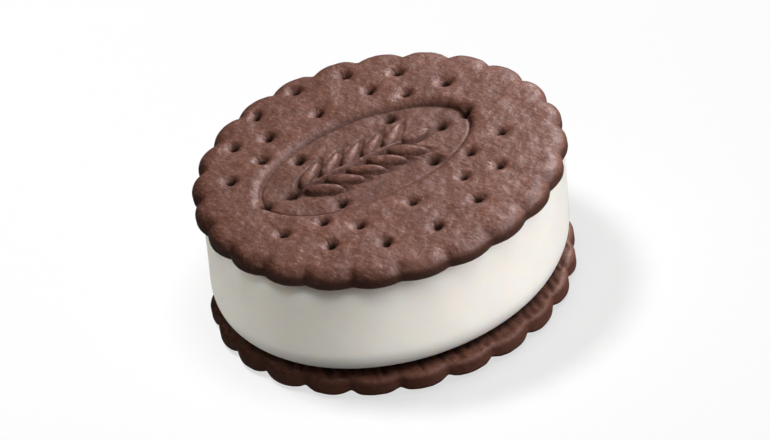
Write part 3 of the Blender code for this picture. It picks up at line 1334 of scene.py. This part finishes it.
@dataclass
class BiscuitPair:
    """The two biscuits, which are the same baked piece laid two ways."""

    shop: FinishShop
    biscuit: Biscuit = field(default_factory=Biscuit)
    # In each finish the pale colour paints glints, and the hollow and side colours paint shade.
    places: tuple[BiscuitPlace, ...] = (
        BiscuitPlace(
            layer=Layer.LOWER_BISCUIT, turn=-4.0, tilt=(0.0, 0.0), flipped=True,
            edge=(0.0015, 0.0012), oval=0.021, oval_axis=72.0, seed=4.0,
            finish=BiscuitFinish(
                name="cocoa_biscuit_lower", base=(0.126, 0.044, 0.0245, 1.0),
                dark=(0.084, 0.028, 0.014, 1.0), pale=(0.225, 0.096, 0.064, 1.0),
                hollow_shade=(0.016, 0.005, 0.002, 1.0), side=(0.090, 0.031, 0.017, 1.0), seed=5.0)),
        BiscuitPlace(
            layer=Layer.UPPER_BISCUIT, turn=0.4, tilt=(0.7, -1.8), flipped=False,
            edge=(0.0030, 0.0022), oval=0.007, oval_axis=102.0, seed=9.0,
            finish=BiscuitFinish(
                name="cocoa_biscuit_upper", base=(0.137, 0.055, 0.034, 1.0),
                dark=(0.086, 0.030, 0.017, 1.0), pale=(0.245, 0.112, 0.084, 1.0),
                hollow_shade=(0.016, 0.004, 0.002, 1.0), side=(0.040, 0.013, 0.0055, 1.0), seed=2.0)))

    def build(self) -> list[bpy.types.Object]:
        """Shape, place and dress both biscuits.

        Returns:
            The finished pieces.
        """
        tree = self.biscuit.shaping_tree()
        pieces = []
        for place in self.places:
            name = place.layer.value + "_baked"
            values = {"Seed": place.seed, "Oval": place.oval,
                      "Oval Axis": math.radians(place.own_oval_axis),
                      "Edge Drop": place.edge[1], "Material": place.finish.material(self.shop)}
            blank = self.biscuit.blank(name + "_blank", place.edge)
            piece = shaped_piece(name, blank, tree, values, place.placement())
            join_frame(piece, place.layer)
            pieces.append(piece)
        return pieces


# --- Ice cream -------------------------------------------------------------------------------


@dataclass
class IceCreamDisc:
    """The thick disc of ice cream, whose top leans to meet the tilted biscuit."""

    shop: FinishShop
    finish: IceCreamFinish = IceCreamFinish()
    radius: float = 0.0383
    top_edge: tuple[float, float] = (0.0022, 0.0036)
    base_edge: tuple[float, float] = (0.0050, 0.0060)
    oval: float = 0.031
    oval_axis: float = 44.0
    base_shift: tuple[float, float] = (0.00000, -0.00102)
    top_shift: tuple[float, float] = (0.00061, 0.00105)
    tilt: tuple[float, float] = (0.7, -1.8)
    dents: NoiseLayer = NoiseLayer(45.0, detail=1.0, level=0.65)
    dent_depth: float = 0.00044
    seed: float = 3.0
    facets: int = 360
    ring_step: float = 0.0005
    hidden_shrink: float = 0.62
    least_points: int = 22

    def face_rings(self, reach: float, height: float) -> list[Ring]:
        """Rings of one flat face, from the rounding of its edge in to its middle."""
        return closing_rings(self.radius - reach, height, self.facets, self.least_points,
                             self.hidden_shrink)

    def rings(self, height: float) -> list[Ring]:
        """Rings of the blank, from the middle of its top down to the middle of its base.

        Args:
            height: Distance between its two faces.

        Returns:
            The rings.
        """
        top, base = (
            edge_rings(self.radius, *edge, face, facing, self.ring_step, self.facets)
            for edge, face, facing in ((self.top_edge, height, Facing.UP),
                                       (self.base_edge, 0.0, Facing.DOWN)))
        side = wall_rings(self.radius, height - self.top_edge[1], self.base_edge[1],
                          self.ring_step, self.facets)
        return [*reversed(self.face_rings(self.top_edge[0], height)), *top, *side, *reversed(base),
                *self.face_rings(self.base_edge[0], 0.0)]

    def shaping_tree(self) -> NodeBench:
        """Build the tree that leans the top and makes the side a little uneven.

        Returns:
            The bench with the finished tree.
        """
        bench = NodeBench.group("ice_cream_shape", TreeKind.SHAPE)
        blank, skin = bench.take("Blank", Socket.SHAPE), bench.take("Material", Socket.MATERIAL)
        height, dent_depth = bench.size("Height", 1.0), bench.size("Dent Depth", self.dent_depth)
        oval = bench.size("Oval", self.oval)
        oval_axis = bench.size("Oval Axis", math.radians(self.oval_axis))
        lean, base, top, seat = (bench.split(bench.take(name, Socket.VECTOR))[:2] for name in (
            "Lean", "Base Middle", "Top Middle", "Biscuit Middle"))
        spot = Spot.read(bench)
        dent = self.dents.dents(bench, spot.place, bench.size("Seed", self.seed))
        move = spot.oval_stretch(oval, oval_axis) * (1.0 + dent * dent_depth / self.radius)
        share = spot.z / height
        x, y = (start * move + low + share * (high - low)
                for start, low, high in zip((spot.x, spot.y), base, top))
        lift = lean[0] * (x - seat[0]) + lean[1] * (y - seat[1])
        places = bench.join(x, y, spot.z + lift * share)
        bench.finish_shape("Ice Cream", blank, places, skin, {})
        return bench

    def build(self) -> bpy.types.Object:
        """Shape, place and dress the ice cream.

        Returns:
            The finished piece.
        """
        low, high = (Vector(corner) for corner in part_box(Layer.ICE_CREAM.value))
        lower, upper = Layer.LOWER_BISCUIT.middle(), Layer.UPPER_BISCUIT.middle()
        tilt_x, tilt_y = (math.radians(angle) for angle in self.tilt)
        lean = Vector((-math.tan(tilt_y), math.tan(tilt_x), 0.0))
        base_middle = Vector((lower.x + self.base_shift[0], lower.y + self.base_shift[1], 0.0))
        top_middle = Vector((upper.x + self.top_shift[0], upper.y + self.top_shift[1], 0.0))
        height = high.z - low.z - self.rise(lean, top_middle - upper)
        values = {"Height": height, "Lean": lean, "Base Middle": base_middle,
                  "Top Middle": top_middle, "Biscuit Middle": Vector((upper.x, upper.y, 0.0)),
                  "Material": self.finish.material(self.shop)}
        name = Layer.ICE_CREAM.value + "_disc"
        blank = turned_blank(name + "_blank", self.rings(height))
        base = Matrix.Translation((0.0, 0.0, low.z))
        piece = shaped_piece(name, blank, self.shaping_tree(), values, base)
        join_frame(piece, Layer.ICE_CREAM)
        return piece

    def rise(self, lean: Vector, away: Vector) -> float:
        """How far the top's highest point stands above the middle of the upper biscuit's seat.

        Args:
            lean: Rise of the top for each metre along X and Y.
            away: From the middle of the upper biscuit to that of the top.

        Returns:
            The rise.
        """
        radius = self.radius - self.top_edge[0]
        heights = []
        for step in range(self.facets):
            angle = 2.0 * math.pi * step / self.facets
            stretch = 1.0 + self.oval * math.cos(2.0 * (angle - math.radians(self.oval_axis)))
            x = radius * stretch * math.cos(angle) + away.x
            y = radius * stretch * math.sin(angle) + away.y
            heights.append(lean.x * x + lean.y * y)
        return max(heights)


def join_frame(piece: bpy.types.Object, layer: Layer) -> None:
    """Make a finished piece ride on the body and stand for its layer's solid.

    Args:
        piece: The piece, in its place.
        layer: The layer that it is.
    """
    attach(piece, BODY)
    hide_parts(layer.value)
    LOG.info("%s: %d faces", piece.name, len(piece.data.polygons))


# --- Studio ----------------------------------------------------------------------------------


@dataclass(frozen=True)
class SoftBox:
    """A square soft light that looks at the middle of the sandwich and lights one thing."""

    name: str
    reach: Reach
    azimuth: float
    elevation: float
    side: float
    power: float
    distance: float = 0.9
    colour: tuple[float, float, float] = (1.0, 1.0, 1.0)

    def build(self, target: Vector,
              lit: Mapping[Reach, Sequence[bpy.types.Object]]) -> bpy.types.Object:
        """Hang the light.

        Args:
            target: Point that the light looks at.
            lit: The objects that each kind of light falls on.

        Returns:
            The light.
        """
        light = bpy.data.lights.new(self.name, "AREA")
        light.shape = "RECTANGLE"
        light.size = light.size_y = self.side
        light.energy = self.power
        light.color = self.colour
        azimuth, elevation = math.radians(self.azimuth), math.radians(self.elevation)
        away = Vector((math.cos(azimuth) * math.cos(elevation),
                       math.sin(azimuth) * math.cos(elevation), math.sin(elevation)))
        lamp = show(self.name, light)
        lamp.location = target + away * self.distance
        lamp.rotation_euler = (-away).to_track_quat("-Z", "Y").to_euler()
        receivers = bpy.data.collections.new(self.name + "_receivers")
        for receiver in lit[self.reach]:
            receivers.objects.link(receiver)
        lamp.light_linking.receiver_collection = receivers
        return lamp


@dataclass(frozen=True)
class ReferenceCamera:
    """A long lens that looks down at the front of the sandwich, rolled a little."""

    elevation: float = 34.83
    roll: float = -10.405
    distance: float = 1.0316
    lens: float = 230.8
    sensor: float = 36.0
    clip: Range = (0.05, 50.0)
    aim_right: float = -0.00020
    aim_down: float = 0.00074

    def build(self, target: Vector) -> bpy.types.Object:
        """Set up the camera.

        Args:
            target: Middle of the sandwich.

        Returns:
            The camera, which becomes the scene's own.
        """
        elevation, roll = math.radians(self.elevation), math.radians(self.roll)
        back = Vector((0.0, -math.cos(elevation), math.sin(elevation)))
        level_right = Vector((1.0, 0.0, 0.0))
        level_up = back.cross(level_right)
        right = math.cos(roll) * level_right + math.sin(roll) * level_up
        up = math.cos(roll) * level_up - math.sin(roll) * level_right
        aim = target + self.aim_right * right - self.aim_down * up
        lens = bpy.data.cameras.new("reference_camera")
        lens.lens = self.lens
        lens.sensor_width = self.sensor
        lens.clip_start, lens.clip_end = self.clip
        camera = show("reference_camera", lens)
        turn = Matrix((right, up, back)).transposed().to_4x4()
        camera.matrix_world = Matrix.Translation(aim + self.distance * back) @ turn
        bpy.context.scene.camera = camera
        return camera


@dataclass(frozen=True)
class Studio:
    """A plain pale floor in soft light."""

    floor_half: float = 3.0
    floor_colour: Colour = (0.30, 0.30, 0.30, 1.0)
    floor_lift: float = 0.67
    sky_colour: Colour = (1.0, 1.0, 1.0, 1.0)
    sky_strength: float = 0.01
    camera: ReferenceCamera = ReferenceCamera()
    lights: tuple[SoftBox, ...] = (
        SoftBox("dough_key", Reach.DOUGH, azimuth=60.0, elevation=36.0, side=0.23, power=4.0,
                distance=0.6, colour=(1.0, 0.98, 1.02)),
        SoftBox("dough_right", Reach.DOUGH, azimuth=-12.0, elevation=46.0, side=0.16, power=1.15,
                distance=0.32, colour=(1.0, 1.06, 1.18)),
        SoftBox("dough_left", Reach.DOUGH, azimuth=-125.0, elevation=68.0, side=0.12, power=0.08,
                distance=0.22),
        SoftBox("dough_front", Reach.DOUGH, azimuth=-55.0, elevation=5.0, side=0.3, power=1.9),
        SoftBox("ice_right", Reach.ICE_CREAM, azimuth=-20.0, elevation=25.0, side=0.4, power=4.0,
                colour=(1.0, 0.985, 1.03)),
        SoftBox("ice_low", Reach.ICE_CREAM, azimuth=-34.0, elevation=5.0, side=0.3, power=2.7),
        SoftBox("ice_high", Reach.ICE_CREAM, azimuth=-52.0, elevation=58.0, side=0.35, power=3.6),
        SoftBox("ice_top", Reach.ICE_CREAM, azimuth=-110.0, elevation=72.0, side=0.35, power=3.4,
                colour=(1.0, 0.985, 0.93)),
        SoftBox("ice_left", Reach.ICE_CREAM, azimuth=160.0, elevation=12.0, side=0.4, power=3.3,
                colour=(1.0, 1.0, 0.955)),
        SoftBox("floor_left", Reach.FLOOR, azimuth=143.0, elevation=69.5, side=0.2, power=6.5),
        SoftBox("floor_right", Reach.FLOOR, azimuth=0.0, elevation=77.0, side=0.25, power=2.6))

    def floor(self, height: float) -> bpy.types.Object:
        """Lay the floor.

        Args:
            height: Height of the floor.

        Returns:
            The floor.
        """
        sheet = bmesh.new()
        bmesh.ops.create_grid(sheet, x_segments=1, y_segments=1, size=self.floor_half,
                              matrix=Matrix.Translation((0.0, 0.0, height)))
        mesh = bpy.data.meshes.new("floor")
        sheet.to_mesh(mesh)
        sheet.free()
        mesh.materials.append(self.floor_material())
        floor = show("floor", mesh)
        return floor

    def floor_material(self) -> bpy.types.Material:
        """Dress the floor as a pale matte sheet that glows to the camera, as a light table does.

        Returns:
            The material.
        """
        material = bpy.data.materials.new("pale_floor")
        bench = NodeBench.cleared(material)
        matte = bench.add("ShaderNodeBsdfDiffuse", {"Color": self.floor_colour})
        seen = bench.add("ShaderNodeLightPath", output="Is Camera Ray")
        glow = bench.add("ShaderNodeEmission", {"Strength": seen * self.floor_lift})
        both = bench.add("ShaderNodeAddShader", {0: matte, 1: glow})
        bench.node("ShaderNodeOutputMaterial", {"Surface": both})
        return material

    def sky(self) -> None:
        """Surround the scene with faint white light that looks plain white to the camera."""
        world = bpy.data.worlds.new("soft_sky")
        bench = NodeBench.cleared(world)
        seen = bench.add("ShaderNodeLightPath", output="Is Camera Ray")
        strength = seen * (1.0 - self.sky_strength) + self.sky_strength
        light = bench.add("ShaderNodeBackground", {"Color": self.sky_colour, "Strength": strength})
        bench.node("ShaderNodeOutputWorld", {"Surface": light})
        bpy.context.scene.world = world

    def build(self, dough: Sequence[bpy.types.Object], ice_cream: bpy.types.Object) -> None:
        """Set up the floor, the sky, the lights and the camera.

        Args:
            dough: The biscuits.
            ice_cream: The ice cream.
        """
        target = 0.5 * (Vector(CAD_LOW) + Vector(CAD_HIGH))
        floor = self.floor(CAD_LOW[2])
        self.sky()
        lit = {Reach.DOUGH: dough, Reach.ICE_CREAM: [ice_cream], Reach.FLOOR: [floor]}
        for light in self.lights:
            light.build(target, lit)
        self.camera.build(target)
        view = bpy.context.scene.view_settings
        view.view_transform = "Standard"
        view.look = "None"
        LOG.info("studio: %d lights", len(self.lights))


def main() -> None:
    """Build the sandwich from the ground up, then its studio."""
    logging.basicConfig(level=logging.INFO, format="%(name)s %(message)s")
    shop = FinishShop()
    dough = BiscuitPair(shop).build()
    ice_cream = IceCreamDisc(shop).build()
    Studio().build(dough, ice_cream)


if __name__ == "__main__":
    main()
